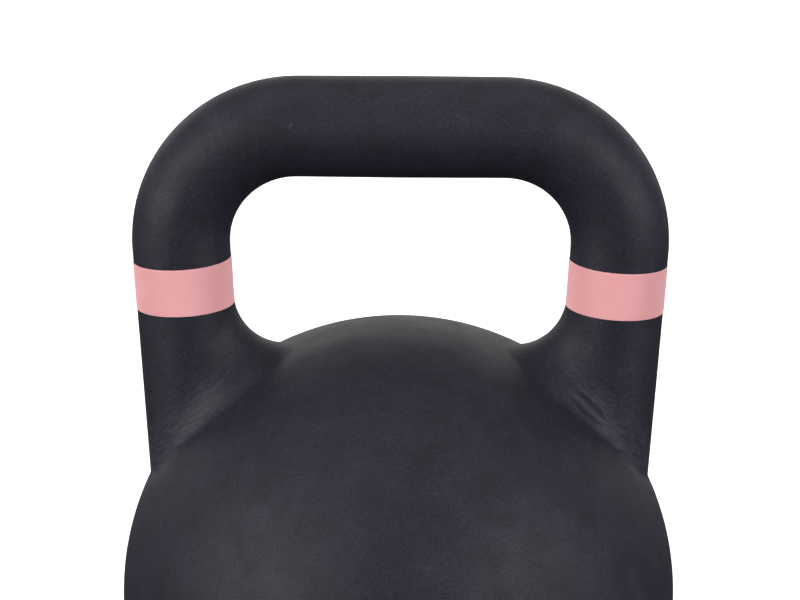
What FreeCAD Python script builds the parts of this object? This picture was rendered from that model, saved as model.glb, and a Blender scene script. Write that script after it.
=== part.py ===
# Cast-iron kettlebell, powder coated, with a painted colour band on each horn of its handle.
#
# The bell, the two horns and the grip bar are one gravity casting in grey iron, faced flat at the
# base. A black powder coat covers everything but that face, and each band is a ring of paint over
# the coat. Iron, coat and paint are one form, grown outwards by the thickness of each layer.
#
# Frame: millimetres, +Z up, origin at the middle of the faced base, the grip bar along X.

import FreeCAD, Part
import Sketcher
import math
import os

# Driving dimensions: alias, value, meaning.
DIMENSIONS = [
    ("bell_radius", 90.8, "radius of the iron bell"),
    ("centre_height", 77.0, "bell centre above the faced base"),
    ("grip_radius", 16.0, "radius of the iron bar at mid span"),
    ("horn_taper", 0.9, "fall in radius from mid span to a horn's end inside the bell"),
    ("horn_inset", 20.45, "bell's side to the widest point of a horn's centreline"),
    ("bar_rise", 66.0, "bell's top to the bar's centreline"),
    ("corner_radius", 37.5, "centreline radius where the bar turns into a horn"),
    ("horn_lean", 3.1, "degrees that each horn leans inwards on its way down"),
    ("inner_root", 18.0, "root fillet on the window side of a horn"),
    ("outer_root", 3.0, "root fillet on the outside of a horn"),
    ("root_lip", 0.8, "depth under the bell's surface at which the root fillets run out"),
    ("coat_thickness", 0.2, "powder coat"),
    ("paint_thickness", 0.15, "band paint over the coat"),
    ("band_drop", 4.0, "end of the corner bend to the band's upper edge"),
    ("band_width", 15.4, "band, measured along the horn"),
]
PARTS_FOLDER = "parts"
ON_SURFACE = 1e-3  # how close an edge's points lie to the sphere that cut it

# Places that several features share, as expressions on the sheet.
LEAN = "(Dims.horn_lean * 1 deg)"
BAR_HEIGHT = "(Dims.centre_height + Dims.bell_radius + Dims.bar_rise)"
BEND_X = "(Dims.bell_radius - Dims.horn_inset - Dims.corner_radius)"
BEND_Z = f"({BAR_HEIGHT} - Dims.corner_radius)"
HORN_TOP_X = f"({BEND_X} + Dims.corner_radius * cos({LEAN}))"
HORN_TOP_Z = f"({BEND_Z} - Dims.corner_radius * sin({LEAN}))"
HORN_END_X = f"({HORN_TOP_X} - ({HORN_TOP_Z} - Dims.centre_height) * tan({LEAN}))"
BAND_X = f"{HORN_TOP_X} - Dims.band_drop * sin({LEAN})"
BAND_Z = f"{HORN_TOP_Z} - Dims.band_drop * cos({LEAN})"

# How far the outside of each layer stands off the iron.
STAND_OFF = {
    "iron": "0",
    "coat": "Dims.coat_thickness",
    "paint": "(Dims.coat_thickness + Dims.paint_thickness)",
}

SEAM_IN_FRONT = FreeCAD.Rotation(90, 0, 0)  # turns a sphere's seam away from the horns

document = FreeCAD.newDocument("kettlebell")


def make_dimension_sheet():
    """One row for each driving dimension."""
    sheet = document.addObject("Spreadsheet::Sheet", "Dims")
    for row, (alias, value, meaning) in enumerate(DIMENSIONS, start=1):
        sheet.set(f"A{row}", meaning)
        sheet.set(f"B{row}", str(value))
        sheet.setAlias(f"B{row}", alias)
    document.recompute()
    return sheet


dims = make_dimension_sheet()


def add_item(kind, name, sizes, **links):
    """A document object with its links set and its sizes bound to the sheet."""
    item = document.addObject(kind, name)
    for prop, value in links.items():
        setattr(item, prop, value)
    for prop, expression in sizes.items():
        item.setExpression(prop, expression)
    return item


def origin_plane(body, role):
    """One of the body's own origin planes, as a link."""
    return next(plane for plane in body.Origin.OriginFeatures if plane.Role == role), [""]


def add_sketch(body, name, role, curves, constraints, sizes):
    """A sketch on an origin plane. Each size is (name, expression, constraint)."""
    sketch = body.newObject("Sketcher::SketchObject", name)
    sketch.AttachmentSupport = origin_plane(body, role)
    sketch.MapMode = "FlatFace"
    for curve in curves:
        sketch.addGeometry(curve)
    for constraint in constraints:
        sketch.addConstraint(Sketcher.Constraint(*constraint))
    for size_name, expression, constraint in sizes:
        index = sketch.addConstraint(Sketcher.Constraint(*constraint))
        sketch.renameConstraint(index, size_name)
        sketch.setExpression(f"Constraints.{size_name}", expression)
    return sketch


def add_round_section(body, name, role, centre, centre_sizes, radius, radius_size):
    """A round section on an origin plane, in two halves that meet on the plane's XZ line."""
    start = -math.pi / 2 if role == "YZ_Plane" else 0
    circle = Part.Circle(centre, FreeCAD.Vector(0, 0, 1), radius)
    axis = -2 if role == "YZ_Plane" else -1
    curves = [
        Part.ArcOfCircle(circle, start, start + math.pi),
        Part.ArcOfCircle(circle, start + math.pi, start + 2 * math.pi),
    ]
    constraints = [
        ("Coincident", 0, 2, 1, 1),
        ("Coincident", 1, 2, 0, 1),
        ("PointOnObject", 0, 1, axis),
        ("PointOnObject", 0, 2, axis),
        ("PointOnObject", 0, 3, axis),
        ("PointOnObject", 1, 3, axis),
    ]
    sizes = [centre_sizes, ("radius", radius_size, ("Radius", 0, radius))]
    return add_sketch(body, name, role, curves, constraints, sizes)


def handle_layout():
    """The bend's centre and the horn's two ends, in the upright middle plane of the handle."""
    lean = math.radians(dims.horn_lean)
    bend_x = dims.bell_radius - dims.horn_inset - dims.corner_radius
    bend_height = dims.centre_height + dims.bell_radius + dims.bar_rise - dims.corner_radius
    bend = FreeCAD.Vector(bend_x, bend_height, 0)
    horn_top = bend + FreeCAD.Vector(math.cos(lean), -math.sin(lean), 0) * dims.corner_radius
    horn_run = (horn_top.y - dims.centre_height) * math.tan(lean)
    horn_end = FreeCAD.Vector(horn_top.x - horn_run, dims.centre_height, 0)
    return bend, horn_top, horn_end


def add_bar_section(body, layer):
    """The bar's section at mid span."""
    bend, _, _ = handle_layout()
    height = bend.y + dims.corner_radius
    return add_round_section(
        body,
        f"{layer}_bar_section",
        "YZ_Plane",
        FreeCAD.Vector(0, height, 0),
        ("height", BAR_HEIGHT, ("DistanceY", -1, 1, 0, 3, height)),
        dims.grip_radius,
        f"Dims.grip_radius + {STAND_OFF[layer]}",
    )


def add_horn_end_section(body, layer):
    """The horn's section at its lower end, inside the bell."""
    _, _, horn_end = handle_layout()
    sketch = add_round_section(
        body,
        f"{layer}_horn_end_section",
        "XY_Plane",
        FreeCAD.Vector(horn_end.x, 0, 0),
        ("place", HORN_END_X, ("DistanceX", -1, 1, 0, 3, horn_end.x)),
        dims.grip_radius,
        f"Dims.grip_radius - Dims.horn_taper + {STAND_OFF[layer]}",
    )
    sketch.setExpression("AttachmentOffset.Base.z", "Dims.centre_height")
    return sketch


def add_handle_path(body, layer):
    """Half of the handle's centreline: the bar, the bend and the horn down into the bell."""
    lean = math.radians(dims.horn_lean)
    radius = dims.corner_radius
    bend, horn_top, horn_end = handle_layout()
    height = bend.y + radius
    curves = [
        Part.LineSegment(FreeCAD.Vector(0, height, 0), FreeCAD.Vector(bend.x, height, 0)),
        Part.ArcOfCircle(Part.Circle(bend, FreeCAD.Vector(0, 0, 1), radius), -lean, math.pi / 2),
        Part.LineSegment(horn_end, horn_top),
    ]
    constraints = [
        ("PointOnObject", 0, 1, -2),
        ("Horizontal", 0),
        ("Tangent", 0, 2, 1, 2),
        ("Tangent", 1, 1, 2, 2),
    ]
    sizes = [
        ("bar_height", BAR_HEIGHT, ("DistanceY", -1, 1, 0, 1, height)),
        ("bend_radius", "Dims.corner_radius", ("Radius", 1, radius)),
        ("bend_centre", BEND_X, ("DistanceX", -1, 1, 1, 3, bend.x)),
        ("lean", LEAN, ("Angle", 2, 1, -2, 1, lean)),
        ("horn_end", "Dims.centre_height", ("DistanceY", -1, 1, 2, 1, dims.centre_height)),
    ]
    return add_sketch(body, f"{layer}_handle_path", "XZ_Plane", curves, constraints, sizes)


def add_handle_on_root_sphere(layer):
    """The swept handle, joined to the slightly smaller sphere that its root fillets run out on."""
    body = document.addObject("PartDesign::Body", f"{layer}_handle")
    half = body.newObject("PartDesign::AdditivePipe", f"{layer}_half_handle")
    half.Profile = add_bar_section(body, layer)
    half.Spine = add_handle_path(body, layer)
    half.Sections = [add_horn_end_section(body, layer)]
    half.Transformation = "Multisection"
    both = body.newObject("PartDesign::Mirrored", f"{layer}_both_halves")
    both.Originals = [half]
    both.MirrorPlane = origin_plane(body, "YZ_Plane")
    body.Tip = both
    sphere = body.newObject("PartDesign::AdditiveSphere", f"{layer}_root_sphere")
    sphere.Placement = FreeCAD.Placement(FreeCAD.Vector(), SEAM_IN_FRONT)
    sphere.setExpression("Radius", f"Dims.bell_radius - Dims.root_lip + {STAND_OFF[layer]}")
    sphere.setExpression("Placement.Base.z", "Dims.centre_height")
    body.Tip = sphere
    for feature in (half, both, sphere):
        feature.Refine = False  # keeps each horn in a front and a back half
    document.recompute()
    return body


def enters_sphere(edge, sphere_radius):
    """Whether an edge lies on the root sphere, out at a horn."""
    if edge.Degenerated:
        return False
    centre = FreeCAD.Vector(0, 0, dims.centre_height)
    points = [point - centre for point in edge.discretize(9)]
    on_sphere = all(abs(point.Length - sphere_radius) < ON_SURFACE for point in points)
    return on_sphere and min(abs(point.x) for point in points) > dims.grip_radius


def root_fillets(shape, sphere_radius, stand_off):
    """Each edge round the horns' roots, with its fillet radius at either end.

    The radius falls evenly from the window side of a horn to its outside.
    """
    ends = {}
    for number, edge in enumerate(shape.Edges, start=1):
        if enters_sphere(edge, sphere_radius):
            first, last = edge.valueAt(edge.FirstParameter), edge.valueAt(edge.LastParameter)
            ends[number] = abs(first.x), abs(last.x)
    inside = min(min(pair) for pair in ends.values())
    outside = max(max(pair) for pair in ends.values())
    fillets = []
    for number, pair in ends.items():
        shares = [(x - inside) / (outside - inside) for x in pair]
        radii = [dims.inner_root + (dims.outer_root - dims.inner_root) * s for s in shares]
        fillets.append((number, radii[0] - stand_off, radii[1] - stand_off))
    return fillets


def add_form(layer, stand_off):
    """The whole kettlebell as one solid, out to the outside of the given layer."""
    handle = add_handle_on_root_sphere(layer)
    rooted = document.addObject("Part::Fillet", f"{layer}_rooted_handle")
    rooted.Base = handle
    sphere_radius = dims.bell_radius - dims.root_lip + stand_off
    rooted.Edges = root_fillets(handle.Shape, sphere_radius, stand_off)
    bell = add_item(
        "Part::Sphere",
        f"{layer}_bell",
        {
            "Radius": f"Dims.bell_radius + {STAND_OFF[layer]}",
            "Placement.Base.z": "Dims.centre_height",
        },
        Placement=FreeCAD.Placement(FreeCAD.Vector(), SEAM_IN_FRONT),
    )
    whole = add_item("Part::MultiFuse", f"{layer}_uncut", {}, Shapes=[rooted, bell])
    above_base = add_item(
        "Part::Box",
        f"{layer}_above_base",
        {
            "Length": "4 * Dims.bell_radius",
            "Width": "4 * Dims.bell_radius",
            "Height": f"{BAR_HEIGHT} + 2 * Dims.grip_radius",
            "Placement.Base.x": "-2 * Dims.bell_radius",
            "Placement.Base.y": "-2 * Dims.bell_radius",
        },
    )
    return add_item("Part::MultiCommon", f"{layer}_form", {}, Shapes=[whole, above_base])


def add_right_band(paint_form, coat_form):
    """A ring of paint round the right horn, a little below the bend."""
    zone = add_item(
        "Part::Cylinder",
        "band_zone",
        {
            "Radius": "2 * Dims.grip_radius",
            "Height": "Dims.band_width",
            "Placement.Base.x": BAND_X,
            "Placement.Base.z": BAND_Z,
            "Placement.Rotation.Angle": f"180 deg + {LEAN}",
        },
        Placement=FreeCAD.Placement(
            FreeCAD.Vector(), FreeCAD.Rotation(FreeCAD.Vector(0, 1, 0), 180 + dims.horn_lean)
        ),
    )
    horn = add_item("Part::MultiCommon", "painted_horn", {}, Shapes=[paint_form, zone])
    return add_item("Part::Cut", "right_colour_band", {}, Base=horn, Tool=coat_form)


def check_object(item):
    """Stop if an object did not compute, or if its shape is missing or broken."""
    if "Invalid" in item.State or "Error" in item.State:
        raise RuntimeError(f"{item.Label} did not compute: {item.State}")
    if hasattr(item, "Shape") and (item.Shape.isNull() or not item.Shape.isValid()):
        raise RuntimeError(f"{item.Label} has no valid shape")


coat_depth = dims.coat_thickness
paint_depth = dims.coat_thickness + dims.paint_thickness

# The casting, and the forms that the coat and the paint reach out to.
iron = add_form("iron", 0)
coat_form = add_form("coat", coat_depth)
paint_form = add_form("paint", paint_depth)

# Powder coat: everything between the iron and the coat's outside, open at the faced base.
coat = add_item("Part::Cut", "powder_coat", {}, Base=coat_form, Tool=iron)

# Colour bands: paint over the coat, the left one the mirror of the right.
right_band = add_right_band(paint_form, coat_form)
left_band = add_item(
    "Part::Mirroring",
    "left_colour_band",
    {},
    Source=right_band,
    Normal=FreeCAD.Vector(1, 0, 0),
)

NODES = {
    "iron_casting": iron,
    "powder_coat": coat,
    "left_colour_band": left_band,
    "right_colour_band": right_band,
}
for node, item in NODES.items():
    item.Label = node

document.recompute()
for item in document.Objects:
    check_object(item)

os.makedirs(PARTS_FOLDER, exist_ok=True)
for node, item in NODES.items():
    item.Shape.exportStep(f"{PARTS_FOLDER}/{node}.step")
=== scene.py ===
# A cast-iron kettlebell in black powder coat, with a pink paint band on each horn of its handle.
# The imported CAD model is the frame: metres, +Z up, origin at the middle of the faced base, the
# grip bar along X and the front towards -Y.

import math

import bmesh
import bpy
import numpy as np
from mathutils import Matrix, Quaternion, Vector, noise
from mathutils.bvhtree import BVHTree


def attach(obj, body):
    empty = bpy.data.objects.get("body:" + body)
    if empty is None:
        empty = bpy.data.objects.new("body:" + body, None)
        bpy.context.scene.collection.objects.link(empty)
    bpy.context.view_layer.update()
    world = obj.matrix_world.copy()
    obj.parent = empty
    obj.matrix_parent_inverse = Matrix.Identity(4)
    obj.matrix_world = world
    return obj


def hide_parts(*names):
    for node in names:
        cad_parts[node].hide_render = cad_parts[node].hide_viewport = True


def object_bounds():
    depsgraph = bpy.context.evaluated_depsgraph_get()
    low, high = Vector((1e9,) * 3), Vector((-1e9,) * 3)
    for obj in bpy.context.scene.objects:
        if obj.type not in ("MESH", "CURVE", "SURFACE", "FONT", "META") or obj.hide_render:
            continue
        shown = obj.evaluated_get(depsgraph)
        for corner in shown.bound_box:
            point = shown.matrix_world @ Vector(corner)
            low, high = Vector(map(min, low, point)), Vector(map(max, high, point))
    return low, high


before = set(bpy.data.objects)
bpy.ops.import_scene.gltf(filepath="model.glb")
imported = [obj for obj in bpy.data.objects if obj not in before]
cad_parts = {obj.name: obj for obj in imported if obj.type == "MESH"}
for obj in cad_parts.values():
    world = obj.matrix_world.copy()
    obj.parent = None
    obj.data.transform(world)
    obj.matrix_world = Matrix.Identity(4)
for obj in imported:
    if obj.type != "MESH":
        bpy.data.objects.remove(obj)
cad_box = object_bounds()

MM = 0.001


# --- The casting -----------------------------------------------------------------------------
# Bell, horns and bar are one sand casting in grey iron, poured solid. Its base is faced flat on a
# lathe after coating, so bare iron shows only there; the CAD solid has that shape already.

BASE_FEED = 3.0 * MM  # spacing of the facing marks; a real tool feeds about 0.25 mm, too fine to show
RING_UNIT = 0.314  # spacing of the wave texture's rings at a scale of 1


def linear(hex_colour):
    """A linear RGBA colour from an sRGB hex value."""
    channels = [int(hex_colour[i:i + 2], 16) / 255 for i in (1, 3, 5)]
    return [c / 12.92 if c <= 0.04045 else ((c + 0.055) / 1.055) ** 2.4 for c in channels] + [1.0]


def new_material(name):
    """A material with only its output node, and that node."""
    material = bpy.data.materials.new(name)
    material.use_nodes = True
    material.node_tree.nodes.clear()
    return material, add_node(material, "ShaderNodeOutputMaterial")


def add_node(material, kind, links=(), inputs=None, stops=(), **settings):
    """A node with its settings, socket values, colour stops, and (socket, source, output) links."""
    node = material.node_tree.nodes.new(kind)
    for name, value in settings.items():
        setattr(node, name, value)
    for name, value in (inputs or {}).items():
        node.inputs[name].default_value = value
    for _ in stops[2:]:
        node.color_ramp.elements.new(0.5)
    for index, (position, colour) in enumerate(stops):
        node.color_ramp.elements[index].position = position
        node.color_ramp.elements[index].color = linear(colour)
    for socket, source, output in links:
        material.node_tree.links.new(source.outputs[output], node.inputs[socket])
    return node


# Grey iron, lathe-faced: dull steel grey with the tool's rings, and brown where it has begun to rust.
grey_iron, output = new_material("grey_iron_lathe_faced")
place = add_node(grey_iron, "ShaderNodeTexCoord")
rings = add_node(
    grey_iron,
    "ShaderNodeTexWave",
    [("Vector", place, "Object")],
    {"Scale": RING_UNIT / BASE_FEED, "Distortion": 0.6, "Detail": 2.0, "Detail Scale": 0.4},
    wave_type="RINGS",
    rings_direction="Z",
)
stain = add_node(
    grey_iron,
    "ShaderNodeTexNoise",
    [("Vector", place, "Object")],
    {"Scale": 1 / (14 * MM), "Detail": 6.0, "Roughness": 0.62},
)
grain = add_node(
    grey_iron,
    "ShaderNodeTexNoise",
    [("Vector", place, "Object")],
    {"Scale": 1 / (0.8 * MM), "Detail": 3.0},
)
iron_colour = add_node(
    grey_iron,
    "ShaderNodeValToRGB",
    [("Fac", stain, "Fac")],
    stops=[(0.32, "#8d8b89"), (0.55, "#7b7977"), (0.7, "#6d5f55"), (0.8, "#5e4a3d")],
)
iron_rough = add_node(
    grey_iron,
    "ShaderNodeMapRange",
    [("Value", stain, "Fac")],
    {"From Min": 0.3, "From Max": 0.8, "To Min": 0.34, "To Max": 0.62},
)
ring_bump = add_node(
    grey_iron,
    "ShaderNodeBump",
    [("Height", rings, "Fac")],
    {"Strength": 0.35, "Distance": 0.05 * MM},
)
grain_bump = add_node(
    grey_iron,
    "ShaderNodeBump",
    [("Height", grain, "Fac"), ("Normal", ring_bump, "Normal")],
    {"Strength": 0.3, "Distance": 0.05 * MM},
)
iron_shader = add_node(
    grey_iron,
    "ShaderNodeBsdfPrincipled",
    [
        ("Base Color", iron_colour, "Color"),
        ("Roughness", iron_rough, "Result"),
        ("Normal", grain_bump, "Normal"),
    ],
    {"Metallic": 1.0},
)
grey_iron.node_tree.links.new(iron_shader.outputs["BSDF"], output.inputs["Surface"])

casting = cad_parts["iron_casting"]
casting.data.materials.clear()
casting.data.materials.append(grey_iron)


# --- The powder coat -------------------------------------------------------------------------
# Black polyester powder, sprayed over the whole casting and baked. It follows the sand-cast skin's
# slow waves, and the marks left where the horns' roots were fettled by hand.

COAT_CELL = 1.4 * MM  # size of the coat mesh's faces
COAT_THICKNESS = 0.2 * MM
WAVE_DEPTH = 0.07 * MM  # of the cast skin
WAVE_LENGTH = 26 * MM
BELL_RADIUS = 91.0 * MM  # over the coat, as is the grip radius
BELL_HEIGHT = 77.0 * MM  # of the bell's centre
GRIP_RADIUS = 16.2 * MM
BAR_HEIGHT = 233.8 * MM  # of the bar's centreline
BEND_RADIUS = 37.5 * MM  # of the handle's centreline
BEND_X = 32.85 * MM  # middle of the bar to the centre of a bend
HORN_LEAN = math.radians(3.1)
FETTLED_UP_HORN = 7 * MM  # how far off the horn's own surface the fettling fades to about a third
FETTLED_OVER_BELL = 16 * MM  # how far off the bell's surface it does
STROKE_SLOPE = math.radians(50.3)  # of the fettling strokes, from upright towards the middle


def vertex_values(mesh, name):
    """Every vertex's place or normal, as rows of three."""
    values = np.empty(len(mesh.vertices) * 3)
    mesh.vertices.foreach_get(name, values)
    return values.reshape(-1, 3)


def mesh_arrays(mesh):
    """The places and the smooth normals of a mesh's corners, triangle by triangle."""
    mesh.calc_loop_triangles()
    count = len(mesh.loop_triangles)
    vertices = np.empty(count * 3, np.int32)
    mesh.loop_triangles.foreach_get("vertices", vertices)
    loops = np.empty(count * 3, np.int32)
    mesh.loop_triangles.foreach_get("loops", loops)
    normals = np.empty(len(mesh.loops) * 3)
    mesh.corner_normals.foreach_get("vector", normals)
    corners = vertex_values(mesh, "co")[vertices].reshape(count, 3, 3)
    return corners, normals.reshape(-1, 3)[loops].reshape(count, 3, 3)


def tree_of(corners):
    """A search tree over an array of triangles."""
    flat = corners.reshape(-1, 3)
    faces = np.arange(len(flat)).reshape(-1, 3)
    return BVHTree.FromPolygons(flat.tolist(), faces.tolist())


def on_curved_face(points, triangles, corners, normals):
    """Points on flat triangles lifted to the curved face that the normals tell of, and its normals.

    Each corner's tangent plane is met square on, and the three meetings are blended by the point's
    share of each corner.
    """
    a, b, c = (corners[triangles][:, k] for k in range(3))
    n = normals[triangles]
    ab, ac, ap = b - a, c - a, points - a
    bb, bc, cc = (ab * ab).sum(1), (ab * ac).sum(1), (ac * ac).sum(1)
    pb, pc = (ap * ab).sum(1), (ap * ac).sum(1)
    area = bb * cc - bc * bc + 1e-30
    share_b, share_c = (cc * pb - bc * pc) / area, (bb * pc - bc * pb) / area
    shares = np.clip(np.stack((1 - share_b - share_c, share_b, share_c), 1), 0, 1)
    shares /= shares.sum(1, keepdims=True)
    lifted = np.zeros_like(points)
    for k, corner in enumerate((a, b, c)):
        off = ((points - corner) * n[:, k]).sum(1, keepdims=True)
        lifted += shares[:, k:k + 1] * (points - off * n[:, k])
    normal = (shares[:, :, None] * n).sum(1)
    return points + 0.5 * (lifted - points), normal / np.linalg.norm(normal, axis=1, keepdims=True)


# The coat's outer face is the part of its solid that stands off the iron, less its flat rim below.
iron_corners, _ = mesh_arrays(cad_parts["iron_casting"].data)
coat_corners, coat_normals = mesh_arrays(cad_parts["powder_coat"].data)
iron_tree = tree_of(iron_corners)
centres = coat_corners.mean(1)
stand_off = np.array([iron_tree.find_nearest(Vector(c))[3] for c in centres])
level = np.abs(coat_normals[:, :, 2]).min(1) > 0.999
outer = (stand_off > 0.5 * COAT_THICKNESS) & ~(level & (centres[:, 2] < 0.01 * MM))
outer_corners, outer_normals = coat_corners[outer], coat_normals[outer]
outer_tree = tree_of(outer_corners)

# The casting's solid in even cells gives the coat's mesh its layout.
blank = bpy.data.objects.new("coat_blank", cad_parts["iron_casting"].data.copy())
bpy.context.scene.collection.objects.link(blank)
cells = blank.modifiers.new("cells", "REMESH")
cells.mode = "VOXEL"
cells.voxel_size = COAT_CELL
bpy.context.view_layer.update()
skin = bpy.data.meshes.new_from_object(blank.evaluated_get(bpy.context.evaluated_depsgraph_get()))
skin.name = "powder_coat_skin"
bpy.data.objects.remove(blank)

# Open the coat at the faced base.
rim_iron = math.sqrt((BELL_RADIUS - COAT_THICKNESS) ** 2 - BELL_HEIGHT ** 2)
rim_coat = math.sqrt(BELL_RADIUS ** 2 - BELL_HEIGHT ** 2)
work = bmesh.new()
work.from_mesh(skin)
base = [f for f in work.faces if f.calc_center_median().z < 0.5 * MM and f.normal.z < -0.9]
bmesh.ops.delete(work, geom=base, context="FACES")
rim = {v.index for e in work.edges if e.is_boundary for v in e.verts}
work.to_mesh(skin)
work.free()

# Lay the mesh on the coat's outer face, from a little outside it.
start = vertex_values(skin, "co") + vertex_values(skin, "normal") * 0.5 * MM
hits = [outer_tree.find_nearest(Vector(p)) for p in start]
flat, nearest = np.array([h[0] for h in hits]), np.array([h[2] for h in hits])
places, normals = on_curved_face(flat, nearest, outer_corners, outer_normals)

# Slow waves of the cast skin, only ever inwards.
long_waves = np.array([noise.noise(Vector(p) / WAVE_LENGTH) for p in places])
short_waves = np.array([noise.noise(Vector(p) / WAVE_LENGTH * 3) for p in places])
sunk = np.clip(0.5 + 0.35 * long_waves + 0.15 * short_waves, 0, 1) * WAVE_DEPTH
places = np.clip(places - normals * sunk[:, None], list(cad_box[0]), list(cad_box[1]))

# The rim ends square at the faced base.
for index in rim:
    x, y = places[index, :2]
    places[index] = (x * rim_coat / math.hypot(x, y), y * rim_coat / math.hypot(x, y), 0)
skin.vertices.foreach_set("co", places.ravel())
skin.update()
work = bmesh.new()
work.from_mesh(skin)
edges = [e for e in work.edges if e.is_boundary]
grown = bmesh.ops.extrude_edge_only(work, edges=edges)["geom"]
for v in grown:
    if isinstance(v, bmesh.types.BMVert):
        v.co.xy *= rim_iron / rim_coat
bmesh.ops.recalc_face_normals(work, faces=work.faces)
for f in work.faces:
    f.smooth = True
work.to_mesh(skin)
work.free()

# Where a horn runs into the bell the casting was fettled by hand: how much, and along which lines.
places = vertex_values(skin, "co")
x, y, z = np.abs(places[:, 0]), places[:, 1], places[:, 2]
over_bend = z - BAR_HEIGHT + BEND_RADIUS
out = (x - BEND_X) * math.cos(HORN_LEAN) - over_bend * math.sin(HORN_LEAN) - BEND_RADIUS
off_horn = np.abs(np.hypot(out, y) - GRIP_RADIUS)
off_bell = np.abs(np.sqrt(x * x + y * y + (z - BELL_HEIGHT) ** 2) - BELL_RADIUS)
fettled = np.exp(-((off_horn / FETTLED_UP_HORN) ** 2 + (off_bell / FETTLED_OVER_BELL) ** 2))
fettled = fettled * (over_bend < 0)
skin.attributes.new("fettled", "FLOAT", "POINT").data.foreach_set("value", fettled)
up, aside = math.cos(STROKE_SLOPE), math.sin(STROKE_SLOPE)
strokes = np.stack((up * z - aside * x, aside * z + up * x, y), 1)
skin.attributes.new("strokes", "FLOAT_VECTOR", "POINT").data.foreach_set("vector", strokes.ravel())

coat = bpy.data.objects.new("powder_coat_skin", skin)
bpy.context.scene.collection.objects.link(coat)
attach(coat, "root")
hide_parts("powder_coat")

# Black polyester powder coat, sprayed and baked: a matt, faintly blue black with a fine orange peel,
# paler where strokes of the fettling wheel still show through it.
black_coat, output = new_material("black_polyester_powder_coat")
place = add_node(black_coat, "ShaderNodeTexCoord")
mottle = add_node(
    black_coat,
    "ShaderNodeTexNoise",
    [("Vector", place, "Object")],
    {"Scale": 1 / (11 * MM), "Detail": 5.0, "Roughness": 0.6},
)
peel = add_node(
    black_coat,
    "ShaderNodeTexNoise",
    [("Vector", place, "Object")],
    {"Scale": 1 / (1.6 * MM), "Detail": 2.0},
)
# Powder grain, about 0.15 mm really, drawn at 0.7 mm so that it shows.
powder_grain = add_node(
    black_coat,
    "ShaderNodeTexNoise",
    [("Vector", place, "Object")],
    {"Scale": 1 / (0.7 * MM), "Detail": 3.0, "Roughness": 0.75},
)
cast_skin = add_node(
    black_coat,
    "ShaderNodeTexNoise",
    [("Vector", place, "Object")],
    {"Scale": 1 / (6 * MM), "Detail": 3.0, "Roughness": 0.55},
)
fettle = add_node(black_coat, "ShaderNodeAttribute", attribute_name="fettled")
stroke_place = add_node(black_coat, "ShaderNodeAttribute", attribute_name="strokes")
stroke_scale = add_node(
    black_coat,
    "ShaderNodeVectorMath",
    [(0, stroke_place, "Vector")],
    {1: (1 / (7 * MM), 1 / (0.8 * MM), 1 / (2.5 * MM))},
    operation="MULTIPLY",
)
stroke = add_node(
    black_coat,
    "ShaderNodeTexNoise",
    [("Vector", stroke_scale, "Vector")],
    {"Scale": 1.0, "Detail": 4.0, "Roughness": 0.65},
)
stroke_show = add_node(
    black_coat,
    "ShaderNodeMath",
    [(0, stroke, "Fac"), (1, fettle, "Fac")],
    operation="MULTIPLY",
)
cast_bump = add_node(
    black_coat,
    "ShaderNodeBump",
    [("Height", cast_skin, "Fac")],
    {"Strength": 1.0, "Distance": 0.1 * MM},
)
stroke_bump = add_node(
    black_coat,
    "ShaderNodeBump",
    [("Height", stroke_show, "Value"), ("Normal", cast_bump, "Normal")],
    {"Strength": 1.0, "Distance": 0.14 * MM},
)
# A diagonal nick in the front of the bar, and a gouge where the fettling wheel dug into the right
# root. Each has its place, its turn in degrees, its half sizes and its depth, in millimetres.
dents = {}
dented = stroke_bump
for name, centre, turn, reach, depth in (
    ("nick", (-34.4, -15.8, 237.3), -58, (1.2, 1.5, 0.5), 0.2),
    ("gouge", (60.5, -17.8, 146.5), 44, (9.5, 6.0, 2.6), 0.9),
):
    dent_place = add_node(
        black_coat,
        "ShaderNodeMapping",
        [("Vector", place, "Object")],
        {
            "Location": [c * MM for c in centre],
            "Rotation": (0.0, math.radians(turn), 0.0),
            "Scale": [r * MM for r in reach],
        },
        vector_type="TEXTURE",
    )
    dent_reach = add_node(
        black_coat, "ShaderNodeVectorMath", [(0, dent_place, "Vector")], operation="LENGTH"
    )
    dents[name] = add_node(
        black_coat,
        "ShaderNodeMapRange",
        [("Value", dent_reach, "Value")],
        {"From Min": 0.2, "From Max": 1.0, "To Min": 1.0, "To Max": 0.0},
        interpolation_type="SMOOTHSTEP",
    )
    dented = add_node(
        black_coat,
        "ShaderNodeBump",
        [("Height", dents[name], "Result"), ("Normal", dented, "Normal")],
        {"Strength": 1.0, "Distance": depth * MM},
        invert=True,
    )
coat_tint = add_node(
    black_coat,
    "ShaderNodeValToRGB",
    [("Fac", mottle, "Fac")],
    stops=[(0.3, "#1a1a23"), (0.5, "#201f2a"), (0.68, "#24232e"), (0.8, "#2d2c36")],
)
grain_tint = add_node(
    black_coat,
    "ShaderNodeMapRange",
    [("Value", powder_grain, "Fac")],
    {"From Min": 0.3, "From Max": 0.7, "To Min": 0.4, "To Max": 1.7},
)
grained = add_node(
    black_coat,
    "ShaderNodeVectorMath",
    [(0, coat_tint, "Color"), ("Scale", grain_tint, "Result")],
    operation="SCALE",
)
scuff = add_node(
    black_coat,
    "ShaderNodeMapRange",
    [("Value", stroke_show, "Value")],
    {"From Min": 0.3, "From Max": 0.65, "To Min": 0.0, "To Max": 1.0},
)
worn = add_node(
    black_coat,
    "ShaderNodeMath",
    [(0, scuff, "Result"), (1, dents["nick"], "Result")],
    operation="MAXIMUM",
)
coat_colour = add_node(
    black_coat,
    "ShaderNodeVectorMath",
    [(0, worn, "Value"), (2, grained, "Vector")],
    {1: linear("#2a2a2e")[:3]},
    operation="MULTIPLY_ADD",
)
coat_rough = add_node(
    black_coat,
    "ShaderNodeMapRange",
    [("Value", mottle, "Fac")],
    {"From Min": 0.3, "From Max": 0.75, "To Min": 0.62, "To Max": 0.54},
)
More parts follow.
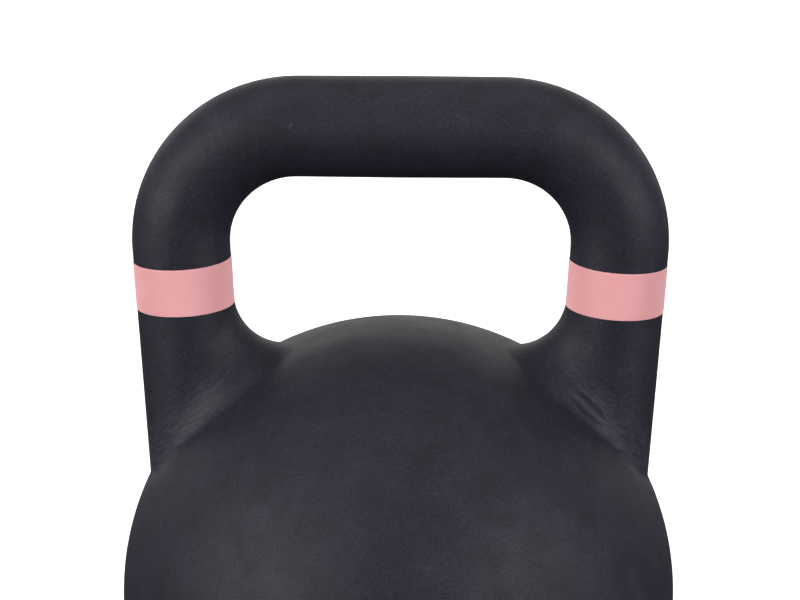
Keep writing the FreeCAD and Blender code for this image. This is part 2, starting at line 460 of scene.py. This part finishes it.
peel_bump = add_node(
    black_coat,
    "ShaderNodeBump",
    [("Height", peel, "Fac"), ("Normal", dented, "Normal")],
    {"Strength": 1.0, "Distance": 0.06 * MM},
)
powder_bump = add_node(
    black_coat,
    "ShaderNodeBump",
    [("Height", powder_grain, "Fac"), ("Normal", peel_bump, "Normal")],
    {"Strength": 1.0, "Distance": 0.09 * MM},
)
coat_shader = add_node(
    black_coat,
    "ShaderNodeBsdfPrincipled",
    [
        ("Base Color", coat_colour, "Vector"),
        ("Roughness", coat_rough, "Result"),
        ("Normal", powder_bump, "Normal"),
    ],
    {"IOR": 1.5, "Specular IOR Level": 0.3},
)
black_coat.node_tree.links.new(coat_shader.outputs["BSDF"], output.inputs["Surface"])
skin.materials.clear()
skin.materials.append(black_coat)


# --- The colour bands ------------------------------------------------------------------------
# A ring of pink enamel round each horn marks the weight. It is brushed on between two lines of
# tape over the coat, so its edges are straight but soft, and it stands a brush coat proud.

PAINT_THICKNESS = 0.15 * MM
BAND_WIDTH = 15.4 * MM
BAND_DROP = 4.0 * MM
PAINT_INSET = 0.02 * MM  # sinks the edges of the ring just into the coat
EDGE_SOFTNESS = 0.5 * MM  # width over which the paint thins out
EDGE_ROWS = [0.0, 0.15, 0.35, 0.65, 1.0]  # shares of that width
MIDDLE_ROWS = 16
ROUND_STEPS = 240


def band_mesh(name, side):
    """A ring over the coat: rows run along the horn, with the paint thinning out at both edges."""
    down = Vector((-side * math.sin(HORN_LEAN), 0, -math.cos(HORN_LEAN)))
    across = Vector((side * math.cos(HORN_LEAN), 0, -math.sin(HORN_LEAN)))
    bend = Vector((side * BEND_X, 0, BAR_HEIGHT - BEND_RADIUS))
    top = bend + across * BEND_RADIUS + down * BAND_DROP
    middle = BAND_WIDTH - 2 * EDGE_SOFTNESS
    rows = [EDGE_SOFTNESS * share for share in EDGE_ROWS]
    rows += [EDGE_SOFTNESS + middle * k / MIDDLE_ROWS for k in range(1, MIDDLE_ROWS)]
    rows += [BAND_WIDTH - EDGE_SOFTNESS * share for share in reversed(EDGE_ROWS)]
    vertices = []
    for run in rows:
        near = min(run, BAND_WIDTH - run) / EDGE_SOFTNESS
        rise = math.sqrt(max(0.0, 1 - (1 - min(near, 1.0)) ** 2)) * PAINT_THICKNESS
        for k in range(ROUND_STEPS):
            angle = 2 * math.pi * k / ROUND_STEPS
            outward = across * math.cos(angle) + Vector((0, 1, 0)) * math.sin(angle)
            centre = top + down * run
            hit = outer_tree.ray_cast(centre, outward, 2 * GRIP_RADIUS)[0]
            vertices.append(hit + outward * (rise - PAINT_INSET))
    faces = []
    for row in range(len(rows) - 1):
        for k in range(ROUND_STEPS):
            a, b = row * ROUND_STEPS + k, row * ROUND_STEPS + (k + 1) % ROUND_STEPS
            faces.append((a, b, b + ROUND_STEPS, a + ROUND_STEPS))
    mesh = bpy.data.meshes.new(name)
    mesh.from_pydata(vertices, [], faces)
    work = bmesh.new()
    work.from_mesh(mesh)
    bmesh.ops.recalc_face_normals(work, faces=work.faces)
    for face in work.faces:
        face.smooth = True
    work.to_mesh(mesh)
    work.free()
    return mesh


# Pink alkyd enamel, brushed: a flat, chalky pink, with faint brush lines round the horn.
pink_enamel, output = new_material("pink_enamel_brushed")
place = add_node(pink_enamel, "ShaderNodeTexCoord")
blotch = add_node(
    pink_enamel,
    "ShaderNodeTexNoise",
    [("Vector", place, "Object")],
    {"Scale": 1 / (9 * MM), "Detail": 4.0},
)
bristle_place = add_node(
    pink_enamel,
    "ShaderNodeVectorMath",
    [(0, place, "Object")],
    {1: (1 / (12 * MM), 1 / (12 * MM), 1 / (0.8 * MM))},
    operation="MULTIPLY",
)
bristle = add_node(
    pink_enamel,
    "ShaderNodeTexNoise",
    [("Vector", bristle_place, "Vector")],
    {"Scale": 1.0, "Detail": 3.0},
)
pink_colour = add_node(
    pink_enamel,
    "ShaderNodeValToRGB",
    [("Fac", blotch, "Fac")],
    stops=[(0.25, "#f3b4b6"), (0.55, "#f4b7b9"), (0.8, "#f5bbbd")],
)
pink_rough = add_node(
    pink_enamel,
    "ShaderNodeMapRange",
    [("Value", bristle, "Fac")],
    {"From Min": 0.3, "From Max": 0.7, "To Min": 0.5, "To Max": 0.6},
)
pink_bump = add_node(
    pink_enamel,
    "ShaderNodeBump",
    [("Height", bristle, "Fac")],
    {"Strength": 1.0, "Distance": 0.02 * MM},
)
pink_shader = add_node(
    pink_enamel,
    "ShaderNodeBsdfPrincipled",
    [
        ("Base Color", pink_colour, "Color"),
        ("Roughness", pink_rough, "Result"),
        ("Normal", pink_bump, "Normal"),
    ],
    {"IOR": 1.5, "Diffuse Roughness": 1.0},
)
pink_enamel.node_tree.links.new(pink_shader.outputs["BSDF"], output.inputs["Surface"])

for name, side in (("left_colour_band", -1), ("right_colour_band", 1)):
    band = bpy.data.objects.new(f"{name}_paint", band_mesh(f"{name}_paint", side))
    bpy.context.scene.collection.objects.link(band)
    band.data.materials.append(pink_enamel)
    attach(band, "root")
    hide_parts(name)


# --- Studio ----------------------------------------------------------------------------------
# A white floor and backdrop that only the camera sees, so that they throw no light up under the
# handle, with soft boxes in front on both sides, at each side, behind and overhead.

FLOOR_SIZE = 12.0
FLOOR_GAP = 0.05 * MM  # keeps the floor just clear of the faced base


def stage_piece(name, mesh, near_glow):
    """A white piece of the stage that lights nothing, and glows fully from 1.5 m out."""
    piece = bpy.data.objects.new(name, mesh)
    bpy.context.scene.collection.objects.link(piece)
    white, output = new_material(f"{name}_white_paper")
    place = add_node(white, "ShaderNodeTexCoord")
    reach = add_node(white, "ShaderNodeVectorMath", [(0, place, "Object")], operation="LENGTH")
    glow = add_node(
        white,
        "ShaderNodeMapRange",
        [("Value", reach, "Value")],
        {"From Min": 0.3, "From Max": 1.5, "To Min": near_glow, "To Max": 1.0},
    )
    shader = add_node(
        white,
        "ShaderNodeBsdfPrincipled",
        [("Emission Strength", glow, "Result")],
        {
            "Base Color": linear("#f2f2f2"),
            "Roughness": 0.8,
            "Emission Color": linear("#ffffff"),
        },
    )
    white.node_tree.links.new(shader.outputs["BSDF"], output.inputs["Surface"])
    mesh.materials.append(white)
    piece.visible_diffuse = False
    piece.visible_glossy = False
    return piece


half = FLOOR_SIZE / 2
floor_mesh = bpy.data.meshes.new("floor")
floor_corners = [(-half, -half), (half, -half), (half, half), (-half, half)]
floor_mesh.from_pydata([(x, y, -FLOOR_GAP) for x, y in floor_corners], [], [(0, 1, 2, 3)])
stage_piece("floor", floor_mesh, 0.6)

dome = bmesh.new()
bmesh.ops.create_uvsphere(dome, u_segments=48, v_segments=24, radius=half)
dome_mesh = bpy.data.meshes.new("backdrop")
dome.to_mesh(dome_mesh)
dome.free()
backdrop = stage_piece("backdrop", dome_mesh, 1.0)
backdrop.visible_shadow = False


def soft_box(name, position, width, height, watts, tint):
    """A rectangular lamp that faces the kettlebell."""
    lamp = bpy.data.lights.new(name, "AREA")
    lamp.shape = "RECTANGLE"
    lamp.size, lamp.size_y = width, height
    lamp.energy = watts
    lamp.color = linear(tint)[:3]
    holder = bpy.data.objects.new(name, lamp)
    holder.location = position
    holder.rotation_euler = (Vector(position) - Vector((0, 0, 0.15))).to_track_quat("Z", "Y").to_euler()
    bpy.context.scene.collection.objects.link(holder)


soft_box("front_left", (-1.6, -1.3, 0.7), 1.2, 1.2, 35.5, "#ffffff")
soft_box("front_right", (1.6, -1.3, 0.7), 1.2, 1.2, 30, "#fdfeff")
soft_box("left_side", (-1.5, -0.1, 0.45), 0.9, 0.9, 4.0, "#ffffff")
soft_box("right_side", (1.5, -0.1, 0.3), 0.9, 0.9, 3.2, "#e6f8ff")
soft_box("rear", (0.0, 2.0, 0.75), 5.0, 1.2, 30, "#fffef8")
soft_box("overhead", (0.0, 0.1, 1.7), 2.4, 1.6, 14, "#ffffff")

studio = bpy.data.worlds.new("studio")
bpy.context.scene.world = studio
studio.use_nodes = True
studio.node_tree.nodes["Background"].inputs["Color"].default_value = linear("#f0f0f8")
studio.node_tree.nodes["Background"].inputs["Strength"].default_value = 0.05

AIM = Vector((0, 0, 176.7 * MM))
DISTANCE = 880 * MM
PITCH, YAW, ROLL = math.radians(15.9), math.radians(0.6), math.radians(0.3)
lens = bpy.data.cameras.new("camera")
lens.sensor_width = 36
lens.lens = 122.7
camera = bpy.data.objects.new("camera", lens)
away = Vector((math.sin(YAW) * math.cos(PITCH), -math.cos(YAW) * math.cos(PITCH), math.sin(PITCH)))
camera.location = AIM + away * DISTANCE
camera.rotation_euler = (away.to_track_quat("Z", "Y") @ Quaternion((0, 0, 1), ROLL)).to_euler()
bpy.context.scene.collection.objects.link(camera)
bpy.context.scene.camera = camera
bpy.context.scene.view_settings.view_transform = "Standard"
